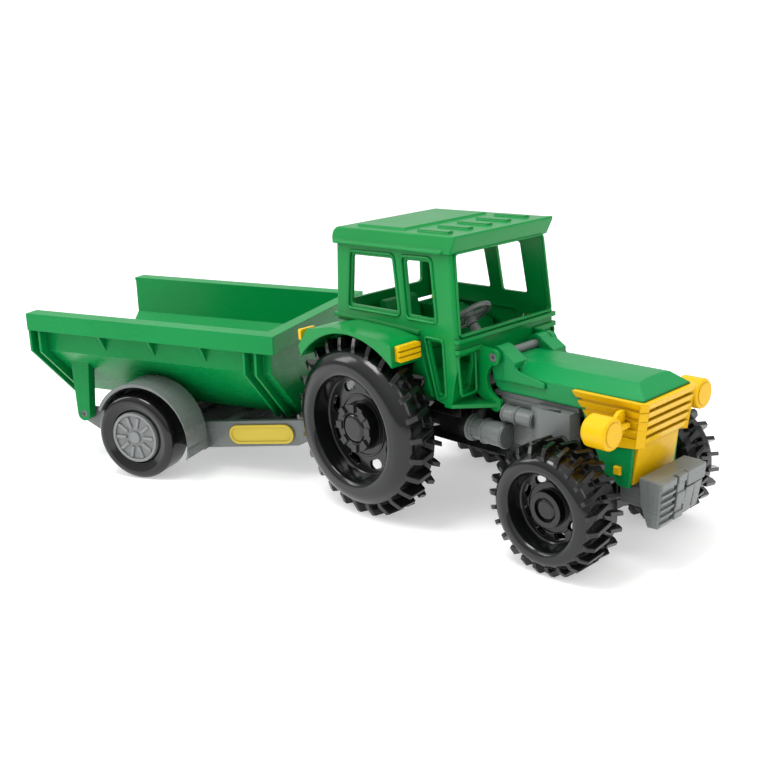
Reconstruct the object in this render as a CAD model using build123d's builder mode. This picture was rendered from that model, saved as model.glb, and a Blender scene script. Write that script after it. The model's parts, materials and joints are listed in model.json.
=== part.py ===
"""Toy farm tractor with a hitched tipping trailer, as separate plastic mouldings and steel axles.

Millimetres. +X is forward, +Y is the tractor's left, +Z is up. The origin is on the ground under
the middle of the rear axle. The trailer stands at an angle behind the tractor, turned on its tow pin.
"""
import os
from math import atan2, cos, pi, radians, sin, sqrt

from build123d import *

os.makedirs("parts", exist_ok=True)

# ---------------------------------------------------------------- driving dimensions
WALL = 2.4                 # moulded wall thickness
GAP = 0.3                  # clearance between parts that move on each other
RUNNING = 0.06             # radial clearance of a shaft that turns in a hole

REAR_R = 62.5              # rear wheel over the lugs
FRONT_R = 40.0             # front wheel over the lugs
WHEELBASE = 151.0
AXLE_R = 2.5               # steel axles

CAB_HALF = 48.0            # half width of the cab
CAB_FRONT = 73.6
CAB_REAR = -41.0
CAB_LEAN = 2.6             # the side walls come in this much from sill to roof
SCREEN_RAKE = 4.1          # the windscreen goes back this much from sill to roof
SILL_Z = 130.0             # bottom edge of the side windows' frame
ROOF_Z = 181.0             # joint between the cab and its roof
ROOF_TOP = 192.5

HOOD_HALF = 24.0
HOOD_REAR = 84.0
HOOD_NOSE = 193.0
HOOD_LOW = 92.5            # lower edge of the hood's sides
CREASE_Z = 104.5           # where the hood's side turns into the slope
HOOD_TOP = 113.0
HINGE = (86.0, 115.0)      # hood pin, x and z
PIN_R = 3.0

LAMP_Y = 47.0              # headlights
LAMP_Z = 90.8
LAMP_R = 9.6

WEIGHT_BACK = 190.0
WEIGHT_FRONT = 206.0
WEIGHT_LOW = 28.0
WEIGHT_TOP = 58.5

TRAILER_YAW = 24.0         # how far the trailer is turned on the tow pin at rest
HITCH_X = -75.5
HITCH_Z = 50.0
DRAW = 156.0               # trailer axle to tow pin
TRAILER_R = 33.5
TUB_REAR = -91.0
TUB_FRONT = 127.0
TUB_HALF = 78.0            # half width over the rim
TUB_RIM = 122.5
TUB_TILT = 2.6             # the tub's rim falls this much towards the front, degrees
TUB_FLOOR = 46.2           # underside of the tub before it is tilted
TUB_PIVOT_X = 18.0         # the tilt leaves the rim's height unchanged here
TIP_PIN = (-66.5, 40.0)    # tipping pin, x and z on the trailer
PLATE_Y = 48.0             # outer face of the trailer's side plates
RAIL_TOP = TUB_RIM - (TUB_RIM - TUB_FLOOR) * cos(radians(TUB_TILT)) - 79 * sin(radians(TUB_TILT)) - GAP


# ---------------------------------------------------------------- helpers
def save(piece, name, place=None):
    """Label one finished piece and write it, standing where it belongs."""
    if place is not None:
        piece = piece.moved(place)
    piece.label = name
    export_step(piece, f"parts/{name}.step")


def side_plane(y):
    """Upright plane facing the tractor's right side: sketch X is +X, sketch Y is +Z."""
    return Plane(origin=(0, y, 0), x_dir=(1, 0, 0), z_dir=(0, -1, 0))


def cross_plane(x):
    """Upright plane across the toy: sketch X is +Y, sketch Y is +Z, extruding towards +X."""
    return Plane(origin=(x, 0, 0), x_dir=(0, 1, 0), z_dir=(1, 0, 0))


def side_name(side):
    return "right" if side < 0 else "left"


def mirrored_outline(points):
    """A closed outline from its right half, top to bottom, mirrored about the Z axis."""
    return points + [(-y, z) for y, z in reversed(points)]


# ---------------------------------------------------------------- chassis and running gear
def make_chassis():
    """Black underframe: a deep box girder with tubes for both axles and the tow fork."""
    half = 19.0
    with BuildPart() as chassis:
        with BuildSketch(side_plane(-half)):
            Polygon(
                (-44, 56), (-44, 74), (64, 82), (134, 66), (160, 62), (172, 52),
                (172, 32), (134, 30), (118, 46), (-30, 46), align=None,
            )
        extrude(amount=-2 * half)
        with BuildSketch(side_plane(-half + WALL)):
            Polygon((-40, 58), (-40, 71), (66, 78), (120, 66), (120, 50), (-28, 50), align=None)
        extrude(amount=-2 * (half - WALL))
        # rear axle tube with its flanges
        with BuildSketch(side_plane(-46)):
            with Locations((0, REAR_R)):
                Circle(11)
        extrude(amount=-92)
        for y in (-48, 44):
            with BuildSketch(side_plane(y)):
                with Locations((0, REAR_R)):
                    Circle(22)
            extrude(amount=-4)
        # front axle beam
        with BuildSketch(side_plane(-34)):
            with Locations((WHEELBASE, FRONT_R)):
                RectangleRounded(22, 16, 5)
        extrude(amount=-68)
        # floor lugs that carry the cab
        with BuildSketch(Plane.XY.offset(70)):
            with Locations((10, 0)):
                Rectangle(96, 2 * half + 24)
        extrude(amount=13)
        # tow fork: two ears, one above the other, reaching back over the trailer's eye
        for z in (HITCH_Z - 8, HITCH_Z + 4.4):
            with BuildSketch(Plane.XY.offset(z)):
                with BuildLine():
                    Polyline((-40, -14), (HITCH_X, -9), (HITCH_X, 9), (-40, 14), close=True)
                make_face()
                with Locations((HITCH_X, 0)):
                    Circle(9)
                    Circle(PIN_R, mode=Mode.SUBTRACT)
            extrude(amount=3.6)
        with BuildSketch(Plane.XY.offset(HITCH_Z - 8)):
            with Locations((-41, 0)):
                Rectangle(6, 28)
        extrude(amount=16)
        for x, z in ((0, REAR_R), (WHEELBASE, FRONT_R)):
            with BuildSketch(side_plane(-60)):
                with Locations((x, z)):
                    Circle(AXLE_R + RUNNING)
            extrude(amount=-120, mode=Mode.SUBTRACT)
    save(chassis.part, "chassis")


def make_axle(name, x, z, half_length, place=None):
    with BuildPart() as axle:
        with BuildSketch(side_plane(-half_length)):
            with Locations((x, z)):
                Circle(AXLE_R)
        extrude(amount=-2 * half_length)
        chamfer(axle.edges().filter_by(GeomType.CIRCLE), 0.6)
    save(axle.part, name, place)


def half_plane(x, radius, side):
    """Plane through a wheel's axis: sketch X is |y| and sketch Y is the radius."""
    return Plane(origin=(x, 0, radius), x_dir=(0, side, 0), z_dir=(side, 0, 0))


def lug_ring(x, radius, side, y_from, y_to, spec, start, envelope):
    """A ring of slanted tread lugs from y_from to y_to, trimmed to the envelope's outline."""
    base = spec["base"] - 2.2
    thick = spec["lug"]
    slant = spec["slant"]
    with BuildPart() as ring:
        for turn in range(spec["lugs"]):
            angle = 2 * pi * turn / spec["lugs"] + start
            out = Vector(sin(angle), 0, cos(angle))
            along = Vector(cos(angle), 0, -sin(angle))
            foot = Vector(x, 0, radius) + out * base
            with BuildSketch(Plane(origin=foot, x_dir=along, z_dir=out)):
                Polygon(
                    (-thick / 2, side * y_from), (thick / 2, side * y_from),
                    (slant + thick / 2, side * y_to), (slant - thick / 2, side * y_to),
                    align=None,
                )
        extrude(amount=radius + 1 - base)
        with BuildSketch(half_plane(x, radius, side)):
            Polygon(*envelope, align=None)
        revolve(axis=Axis((x, 0, radius), (0, 1, 0)), mode=Mode.INTERSECT)
    return ring.part


def make_wheel(label, x, radius, side, spec):
    """One wheel in two shells that meet at a seam, with a dished face, and its hub cap."""
    y_in, y_seam, y_shoulder = spec["y_in"], spec["y_seam"], spec["y_shoulder"]
    base, well, disc, hub = spec["base"], spec["well"], spec["disc"], spec["hub"]
    hub_r, ring_r = spec["hub_r"], spec["ring_r"]
    recess = hub - 2.5
    bore = AXLE_R + 0.02
    low = base - 2.2
    axis = Axis((x, 0, radius), (0, 1, 0))
    face = Plane(origin=(x, side * disc, radius), x_dir=(1, 0, 0), z_dir=(0, side, 0))
    outer_end = [
        (y_seam, low), (y_seam, radius), (y_shoulder, radius), (y_shoulder + 3, base + 1),
        (y_shoulder + 3, low),
    ]
    inner_end = [(y_seam, low), (y_seam, radius), (y_in + 2.5, radius), (y_in, base + 1), (y_in, low)]
    outer_lugs = lug_ring(x, radius, side, y_seam, y_shoulder + 4, spec, 0, outer_end)
    inner_lugs = lug_ring(x, radius, side, y_seam, y_in - 1, spec, pi / spec["lugs"], inner_end)

    with BuildPart() as outer:
        with BuildSketch(half_plane(x, radius, side)):
            with BuildLine():
                Polyline(
                    (y_seam, base + 0.8), (y_seam + 0.7, base + 0.8), (y_seam + 0.9, base),
                    spec["dome"][0],
                )
                ThreePointArc(*spec["dome"])
                ThreePointArc(*spec["lip"])
                Polyline(
                    spec["lip"][2], (disc + 0.8, well), (disc, well - 0.8), (disc, hub_r),
                    (hub, hub_r - 0.5),
                )
                Polyline(
                    (hub, hub_r - 0.5), (hub, ring_r), (recess, ring_r), (recess, bore),
                    (spec["hub_in"], bore),
                )
                Polyline((spec["hub_in"], bore), (spec["hub_in"], 7), (disc - WALL, 8.5), *spec["hollow"])
                Polyline(spec["hollow"][-1], (y_seam, base + 0.8))
            make_face()
        revolve(axis=axis)
        add(outer_lugs)
        # raised ring inside the dish, then the oval windows
        with BuildSketch(face):
            Circle(hub_r + 5)
            Circle(hub_r + 3.6, mode=Mode.SUBTRACT)
        extrude(amount=0.9)
        with BuildSketch(face.offset(2)):
            with PolarLocations(spec["slot_r"], 8, start_angle=22.5):
                with Locations(Location((0, 0, 0), (0, 0, 90))):
                    SlotOverall(spec["slot_size"][0], spec["slot_size"][1])
        extrude(amount=-WALL - 3, mode=Mode.SUBTRACT)
        # bumps round the hub's face
        if spec["bumps"]:
            with BuildSketch(face.offset(hub - disc - 0.5)):
                with PolarLocations((hub_r + ring_r) / 2 + 0.2, spec["bumps"]):
                    Rectangle(hub_r - ring_r - 0.8, 5.2)
            extrude(amount=2.0)
    save(outer.part, f"{label}_outer")

    with BuildPart() as inner:
        with BuildSketch(half_plane(x, radius, side)):
            Polygon(
                (y_seam, low), (y_seam, base + 0.8), (y_seam - 0.7, base + 0.8), (y_seam - 0.9, base),
                (y_in + 1.5, base), (y_in, base - 3), (y_in, well + 3), (y_in + WALL, well + 3),
                (y_in + WALL, base - 4), (y_in + 3.4, low), align=None,
            )
        revolve(axis=axis)
        add(inner_lugs)
    save(inner.part, f"{label}_inner")

    cap_r = ring_r - 0.8
    top = hub + spec["cap"]
    with BuildPart() as cap:
        with BuildSketch(half_plane(x, radius, side)):
            with BuildLine():
                Polyline((top, 0), (recess + 0.02, 0), (recess + 0.02, cap_r), (top - 1.2, cap_r))
                ThreePointArc((top - 1.2, cap_r), (top - 0.35, cap_r * 0.86), (top, cap_r * 0.6))
                Line((top, cap_r * 0.6), (top, 0))
            make_face()
        revolve(axis=axis)
    save(cap.part, f"{label}_hub_cap")


REAR_WHEEL = dict(
    y_in=51.2, y_seam=61.0, y_shoulder=71.5, base=55.0, well=35.0, disc=66.0,
    hub=74.0, hub_r=17.0, ring_r=10.6, hub_in=48.4, bumps=8, cap=1.2,
    dome=((70, 55), (77.6, 51), (80.5, 43)), lip=((80.5, 43), (80.3, 39.4), (78.2, 36.8)),
    hollow=((63.6, 36.9), (76.2, 39), (78, 43), (75.4, 49), (69, 52.4), (61, 52.4)),
    slot_r=28.0, slot_size=(12, 6.5), lugs=26, slant=5.0, lug=3.4,
)
FRONT_WHEEL = dict(
    y_in=37.5, y_seam=51.5, y_shoulder=64.0, base=35.2, well=22.4, disc=56.0,
    hub=61.0, hub_r=11.6, ring_r=7.6, hub_in=34.4, bumps=0, cap=-0.6,
    dome=((62.3, 35.2), (66.6, 32.8), (68.2, 28.4)), lip=((68.2, 28.4), (67.6, 25.2), (65.2, 23.6)),
    hollow=((53.6, 24.8), (63.4, 26), (65.6, 28.6), (64.2, 31.4), (61.4, 32.6), (51.5, 32.6)),
    slot_r=17.6, slot_size=(8.5, 4.4), lugs=24, slant=4.0, lug=2.6,
)


def make_tractor_wheels():
    for side in (-1, 1):
        make_wheel(f"rear_wheel_{side_name(side)}", 0, REAR_R, side, REAR_WHEEL)
        make_wheel(f"front_wheel_{side_name(side)}", WHEELBASE, FRONT_R, side, FRONT_WHEEL)


# ---------------------------------------------------------------- engine, weight
def make_engine():
    """Grey engine block under the hood: sump, side cylinders, manifold box and top plate."""
    with BuildPart() as engine:
        with BuildSketch(Plane.XY.offset(82.3)):
            with Locations((112, 0)):
                Rectangle(60, 36)
        extrude(amount=6)
        with BuildSketch(Plane.XY.offset(88.3)):
            with Locations((114, 0)):
                Rectangle(66, 45)
        extrude(amount=3.4)
        for side in (-1, 1):
            # girder cheek that ties the block to the chassis sides
            with BuildSketch(side_plane(side * 23.6 if side < 0 else 19.6)):
                Polygon((90, 60), (146, 56), (146, 88.4), (88, 88.4), align=None)
            extrude(amount=-4)
            # starter: stepped cylinder low on the side
            for x, radius, length in ((68, 8.0, 3.2), (70, 7.0, 12), (80, 7.9, 17)):
                with BuildSketch(cross_plane(x)):
                    with Locations((side * 29, 65)):
                        Circle(radius)
                extrude(amount=length)
            # filter: short cylinder high on the side
            for x, radius, length in ((94, 5.2, 25), (104, 5.7, 2)):
                with BuildSketch(cross_plane(x)):
                    with Locations((side * 28, 80)):
                        Circle(radius)
                extrude(amount=length)
            # manifold box with a three-sided pocket in its top
            with BuildSketch(Plane.XY.offset(68)):
                with BuildLine():
                    Polyline(
                        (117, side * 23), (117, side * 30), (128, side * 33),
                        (146, side * 30), (146, side * 23), close=True,
                    )
                make_face()
            extrude(amount=21)
            with BuildSketch(Plane.XY.offset(84)):
                Polygon(
                    (122, side * 29.2), (139, side * 29.6), (136, side * 24.6), align=None,
                )
            extrude(amount=6, mode=Mode.SUBTRACT)
    save(engine.part, "engine")


def make_front_weight():
    """Front ballast block with its bracket; the right half carries ribs."""
    half = 24.0
    with BuildPart() as weight:
        with BuildSketch(side_plane(-half)):
            Polygon(
                (WEIGHT_BACK, WEIGHT_TOP), (WEIGHT_FRONT, WEIGHT_TOP), (WEIGHT_FRONT, 33),
                (201, WEIGHT_LOW), (194, WEIGHT_LOW), (WEIGHT_BACK, 33), align=None,
            )
        extrude(amount=-2 * half)
        with BuildSketch(side_plane(-17)):
            Polygon((WEIGHT_BACK, 50), (WEIGHT_BACK, 37), (172.2, 37), (172.2, 48), align=None)
        extrude(amount=-34)
        # groove between the two ballast slabs
        with BuildSketch(Plane.XY.offset(20)):
            with Locations((WEIGHT_FRONT, -6)):
                Rectangle(7, 3)
        extrude(amount=50, mode=Mode.SUBTRACT)
        # notches that leave ribs on the right slab
        for step in range(5):
            z = 34.5 + step * 5.2
            with BuildSketch(cross_plane(WEIGHT_FRONT - 1.6)):
                with Locations((-17.5, z)):
                    Rectangle(14, 2.2)
            extrude(amount=3, mode=Mode.SUBTRACT)
        for y in (6.5, 15.0):
            with BuildSketch(cross_plane(WEIGHT_FRONT - 0.9)):
                with Locations((y, 43)):
                    Rectangle(0.9, 32)
            extrude(amount=2, mode=Mode.SUBTRACT)
    save(weight.part, "front_weight")


# ---------------------------------------------------------------- cab
SIDE_WINDOWS = (
    ((-22.6, 174), (15.6, 174.5), (20.4, 140), (-25.2, 140)),
    ((27.6, 174.5), (49.6, 175), (53.8, 139.4), (31.4, 139.4)),
)
DOOR_WINDOW = ((47.8, 124.5), (59.6, 124.5), (60.4, 91), (56.2, 89))


def window_tool(plane, points, frame=2.0):
    """Cutter for a rounded opening with a shallow recess round it, on a wall's outer plane."""
    with BuildPart() as tool:
        with BuildSketch(plane) as pane:
            Polygon(*points, align=None)
            fillet(pane.vertices(), 2.0)
        extrude(amount=7, both=True)
        with BuildSketch(plane):
            Polygon(*points, align=None)
            offset(amount=frame)
        extrude(amount=0.8, both=True)
    return tool.part


def make_cab():
    """Green cab shell: walls that lean in, framed windows, waist mouldings and arms for the hood."""
    inner = CAB_HALF - 3
    lean = atan2(CAB_LEAN, ROOF_Z - SILL_Z)
    rake = atan2(SCREEN_RAKE, ROOF_Z - SILL_Z)
    wall = Plane(origin=(0, -CAB_HALF, SILL_Z), x_dir=(1, 0, 0), z_dir=(0, -cos(lean), sin(lean)))
    screen = Plane(origin=(CAB_FRONT, 0, SILL_Z), x_dir=(0, 1, 0), z_dir=(cos(rake), 0, sin(rake)))
    cutters = [window_tool(wall, [(x, z - SILL_Z) for x, z in points]) for points in SIDE_WINDOWS]
    cutters.append(window_tool(side_plane(-CAB_HALF), DOOR_WINDOW, 1.8))
    low_front = [(-45.2, 116.5), (-33.6, 116.5), (-33.6, 93.5), (-43.6, 93.5)]
    cutters.append(window_tool(cross_plane(CAB_FRONT), low_front, 1.8))
    cutters += [cutter.mirror(Plane.XZ) for cutter in cutters]
    cutters.append(window_tool(screen, [(-44.2, 0.4), (44.2, 0.4), (41.8, 54), (-41.8, 54)], 1.6))
    mid_low = (CAB_REAR + CAB_FRONT) / 2
    mid_top = (CAB_REAR + 1.5 + CAB_FRONT - SCREEN_RAKE) / 2
    long_low = CAB_FRONT - CAB_REAR
    long_top = long_low - SCREEN_RAKE - 1.5
    with BuildPart() as cab:
        with BuildSketch(side_plane(-CAB_HALF)):
            Polygon(
                (CAB_REAR, SILL_Z), (CAB_FRONT, SILL_Z), (CAB_FRONT, 112), (66.5, 83), (54, 85.5),
                (43, 126.5), (CAB_REAR, 128), align=None,
            )
        extrude(amount=-2 * CAB_HALF)
        with BuildSketch(Plane.XY.offset(80)):
            with Locations((mid_low, 0)):
                RectangleRounded(long_low, 2 * CAB_HALF, 3)
        extrude(amount=SILL_Z - 80, mode=Mode.INTERSECT)
        # the upper walls lean in towards the roof
        with BuildSketch(Plane.XY.offset(SILL_Z)):
            with Locations((mid_low, 0)):
                RectangleRounded(long_low, 2 * CAB_HALF, 3)
        with BuildSketch(Plane.XY.offset(ROOF_Z)):
            with Locations((mid_top, 0)):
                RectangleRounded(long_top, 2 * (CAB_HALF - CAB_LEAN), 3)
        loft()
        # hollow
        with BuildSketch(side_plane(-inner)):
            Polygon(
                (CAB_REAR + 3, SILL_Z), (CAB_FRONT - 3, SILL_Z), (CAB_FRONT - 3, 112), (63, 82), (40, 82),
                (40, 120), (CAB_REAR + 3, 120), align=None,
            )
        extrude(amount=-2 * inner, mode=Mode.SUBTRACT)
        with BuildSketch(Plane.XY.offset(SILL_Z)):
            with Locations((mid_low, 0)):
                Rectangle(long_low - 6, 2 * inner)
        with BuildSketch(Plane.XY.offset(ROOF_Z)):
            with Locations((mid_top, 0)):
                Rectangle(long_top - 6, 2 * (inner - CAB_LEAN))
        loft(mode=Mode.SUBTRACT)
        # rear window, and the opening in front for the hood's back and the steering column
        with BuildSketch(cross_plane(-60)):
            with Locations((0, 158)):
                RectangleRounded(70, 36, 3)
        extrude(amount=40, mode=Mode.SUBTRACT)
        with BuildSketch(cross_plane(CAB_FRONT - 20)):
            with Locations((0, 96)):
                Rectangle(50, 34)
        extrude(amount=40, mode=Mode.SUBTRACT)
        # waist mouldings across the front
        with BuildSketch(Plane.XY.offset(125.6)):
            with Locations((CAB_FRONT - 0.4, 0)):
                RectangleRounded(4.8, 2 * CAB_HALF + 1.6, 1.6)
        extrude(amount=2.6)
        for side in (-1, 1):
            with BuildSketch(Plane.XY.offset(118.8)):
                with Locations((CAB_FRONT - 0.4, side * 37.3)):
                    RectangleRounded(4.8, 23.0, 1.6)
            extrude(amount=2.8)
            # ledge under the side windows
            with BuildSketch(side_plane(side * CAB_HALF - 1.5)):
                Polygon(
                    (CAB_REAR - 0.5, 130.4), (41.5, 127.8), (41.5, 130.4), (CAB_REAR - 0.5, 133), align=None,
                )
            extrude(amount=-3)
            # flange along the bottom, out to the arm's foot
            with BuildSketch(Plane.XY.offset(82.6)):
                Polygon(
                    (61, side * 48.4), (67.2, side * 48.4), (89, side * 29.1), (84, side * 26.2),
                    (61, side * 26.2), align=None,
                )
            extrude(amount=2.6)
        # arms on each side of the hood, holding its pin
        for y in (-26.2, 29.2):
            with BuildSketch(side_plane(y)):
                with BuildLine():
                    Polyline((71, 120.6), (HINGE[0], HINGE[1] + 5.2))
                    ThreePointArc(
                        (HINGE[0], HINGE[1] + 5.2), (HINGE[0] + 5.2, HINGE[1]),
                        (HINGE[0] - 0.5, HINGE[1] - 5.2),
                    )
                    ThreePointArc((HINGE[0] - 0.5, HINGE[1] - 5.2), (80.4, 101), (90.6, 87.5))
                    ThreePointArc((90.6, 87.5), (90.6, 81.2), (84.2, 80.6))
                    Polyline((84.2, 80.6), (71, 90), (71, 120.6))
                make_face()
                with Locations(HINGE):
                    Circle(PIN_R + RUNNING / 2, mode=Mode.SUBTRACT)
            extrude(amount=3)
        for cutter in cutters:
            add(cutter, mode=Mode.SUBTRACT)
    save(cab.part, "cab_shell")


def make_roof():
    """Cab roof: a shallow lid with a plateau and five bars, a side lip and a flared visor in front."""
    half = CAB_HALF - 0.6
    rear, front = CAB_REAR + 0.5, CAB_FRONT - 0.6
    with BuildPart() as roof:
        with BuildSketch(side_plane(-half)):
            with BuildLine():
                Polyline((rear, ROOF_Z), (rear, 184))
                TangentArc((rear, 184), (rear + 9, ROOF_TOP), tangent=(0, 1))
                Polyline(
                    (rear + 9, ROOF_TOP), (front - 5, ROOF_TOP), (front + 1.6, ROOF_TOP + 0.4),
                    (front + 1.6, ROOF_TOP - 1.6),
                )
                Polyline((front + 1.6, ROOF_TOP - 1.6), (front - 3.6, ROOF_Z), (rear, ROOF_Z))
            make_face()
        extrude(amount=-2 * half)
        # side band ends in a slope below the visor
        for side in (-1, 1):
            with BuildSketch(side_plane(side * half - 1.3)):
                Polygon(
                    (rear + 2, ROOF_Z), (front - 11, ROOF_Z), (front - 9, ROOF_Z + 1.2),
                    (front - 9, ROOF_Z + 2.4), (rear + 2, ROOF_Z + 2.4), align=None,
                )
            extrude(amount=-2.6)
        with BuildSketch(side_plane(-half + 2.6)):
            Polygon(
                (rear + 3, ROOF_Z - 2), (rear + 3, 183), (rear + 10, ROOF_TOP - WALL), (
                    front - 7, ROOF_TOP - WALL,
                ),
                (front - 7, ROOF_Z - 2), align=None,
            )
        extrude(amount=-2 * half + 5.2, mode=Mode.SUBTRACT)
        with BuildSketch(Plane.XY.offset(ROOF_TOP - 0.5)):
            with Locations((0.5, 0)):
                Rectangle(46, 80)
        extrude(amount=1.9, taper=20)
        with BuildSketch(Plane.XY.offset(ROOF_TOP - 0.5)):
            with GridLocations(0, 18.4, 1, 5):
                with Locations((48, 0)):
                    Rectangle(27, 5)
        extrude(amount=1.9)
    save(roof.part, "cab_roof")


def make_fender(side):
    """Rear fender: an arched shell over the wheel, closed by a wall beside the cab."""
    y_out, y_in = 76.0, 48.4
    outer = side * y_out if side < 0 else y_out
    arch = REAR_R + 2.8
    with BuildPart() as fender:
        start = side_plane(-y_out) if side < 0 else side_plane(y_out)
        depth = (y_out - y_in - 1.4) * (-1 if side < 0 else 1)
        with BuildSketch(start):
            with BuildLine():
                back = (-49.0, REAR_R + sqrt(arch**2 - 49.0**2))
                nose = (43.0, REAR_R + sqrt(arch**2 - 43.0**2))
                ThreePointArc(back, (0, REAR_R + arch), nose)
                Polyline(
                    nose, (43.0, 125.0), (40, 127.2), (22, 129.5), (-14, 131), (-40, 126), (-51, 113),
                    back,
                )
            make_face()
        extrude(amount=depth)
        # hollow behind the front panel
        with BuildSketch(side_plane(outer + 2.5 if side < 0 else outer - 2.5)):
            with BuildLine():
                back = (-46.0, REAR_R + sqrt(arch**2 - 46.0**2) - 1)
                nose = (40.5, REAR_R + sqrt(arch**2 - 40.5**2) - 1)
                ThreePointArc(back, (0, REAR_R + arch - 1), nose)
                Polyline(
                    nose, (40.5, 123), (39, 124.8), (22, 127.2), (-14, 128.8), (-38.5, 124),
                    (-47.5, 112), back,
                )
            make_face()
        extrude(amount=(y_out - y_in - 4.5) * (-1 if side < 0 else 1), mode=Mode.SUBTRACT)
        # wall beside the cab, down to the floor
        with BuildSketch(side_plane(-y_in if side < 0 else y_in + 0.0)):
            with BuildLine():
                Polyline((-48, 88), (-48, 113), (-40, 125.5), (-14, 127.4), (42, 126), (52.5, 88), close=True)
            make_face()
        extrude(amount=2.1 if side < 0 else -2.1)
        # axle cut-out in that wall
        with BuildSketch(side_plane(-y_in - 5 if side < 0 else y_in + 5)):
            with Locations((0, REAR_R)):
                Circle(23.0)
        extrude(amount=-10 if side < 0 else 10, mode=Mode.SUBTRACT)
    save(fender.part, f"fender_{side_name(side)}")


def make_lamps():
    """Ribbed marker lamps: front and rear on each fender."""
    for side in (-1, 1):
        with BuildPart() as lamp:
            with BuildSketch(cross_plane(43.02)):
                with Locations((side * 63, 120.2)):
                    Rectangle(19, 10.4)
            extrude(amount=4.2)
            fillet(lamp.edges().filter_by(Axis.X), 1.2)
            for z in (118.4, 122.0):
                with BuildSketch(cross_plane(46.2)):
                    with Locations((side * 63, z)):
                        Rectangle(19.5, 0.9)
                extrude(amount=2, mode=Mode.SUBTRACT)
        save(lamp.part, f"front_marker_{side_name(side)}")
        with BuildPart() as tail:
            with BuildSketch(cross_plane(-50.6)):
                with Locations((side * 66, 119.5)):
                    Rectangle(14, 8)
            extrude(amount=-3)
            fillet(tail.edges().filter_by(Axis.X), 1.2)
        save(tail.part, f"rear_marker_{side_name(side)}")


def make_cab_inside():
    """Floor tray with its back wall and seat box, the seat, the column and the steering wheel."""
    with BuildPart() as tray:
        with BuildSketch(Plane.XY.offset(84)):
            with Locations((8, 0)):
                Rectangle(86, 88)
        extrude(amount=3)
        with BuildSketch(cross_plane(-34)):
            with Locations((0, 106)):
                Rectangle(88, 42)
        extrude(amount=3)
        with BuildSketch(Plane.XY.offset(86)):
            with Locations((-14, 0)):
                Rectangle(32, 34)
        extrude(amount=16)
        for side in (-1, 1):
            with BuildSketch(side_plane(side * 44 if side < 0 else 44)):
                Polygon((-32, 86), (-32, 126), (-6, 126.5), (22, 118), (34, 86), align=None)
            extrude(amount=-18 if side < 0 else 18)
    save(tray.part, "cab_tray")

    with BuildPart() as seat:
        with BuildSketch(side_plane(-16)):
            with BuildLine():
                Polyline((4, 102.4), (4, 107), (0, 109), (-16, 108))
                Polyline(
                    (-16, 108), (-20, 112), (-25, 135), (-28, 136.5), (-30.4, 135), (-28, 102.4),
                    (4, 102.4),
                )
            make_face()
        extrude(amount=-32)
        fillet(seat.edges().filter_by(Axis.Y), 0.9)
    save(seat.part, "seat")

    tilt = radians(40)
    lean = Vector(-sin(tilt), 0, cos(tilt))
    centre = Vector(39.5, 0, 129.5)
    with BuildPart() as column:
        with BuildSketch(Plane(origin=centre - lean * 6.3, x_dir=(0, 1, 0), z_dir=-lean)):
            Circle(3.2)
        extrude(amount=38, taper=-3)
        with BuildSketch(Plane.XY.offset(87.1)):
            with Locations((57, 0)):
                Rectangle(10, 16)
        extrude(amount=22)
        with BuildSketch(Plane(origin=centre - lean * 7, x_dir=(0, 1, 0), z_dir=lean)):
            Circle(1.8)
        extrude(amount=6.6)
    save(column.part, "steering_column")

    with BuildPart() as wheel:
        with BuildSketch(Plane(origin=centre, x_dir=(0, 1, 0), z_dir=(cos(tilt), 0, sin(tilt)))):
            with Locations((16.0, 0)):
                Circle(1.7)
        revolve(axis=Axis(tuple(centre), tuple(lean)))
        with BuildSketch(Plane(origin=centre - lean * 1.3, x_dir=(0, 1, 0), z_dir=lean)):
            Circle(4.6)
            for turn in (90, 210, 330):
                with Locations(Location((0, 0, 0), (0, 0, turn))):
                    with Locations((8, 0)):
                        Rectangle(15, 3.2)
        extrude(amount=2.6)
        with BuildSketch(Plane(origin=centre - lean * 6, x_dir=(0, 1, 0), z_dir=lean)):
            Circle(4.0)
        extrude(amount=6)
        with BuildSketch(Plane(origin=centre - lean * 7, x_dir=(0, 1, 0), z_dir=lean)):
            Circle(1.8 + RUNNING)
        extrude(amount=6.9, mode=Mode.SUBTRACT)
    save(wheel.part, "steering_wheel")


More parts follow.
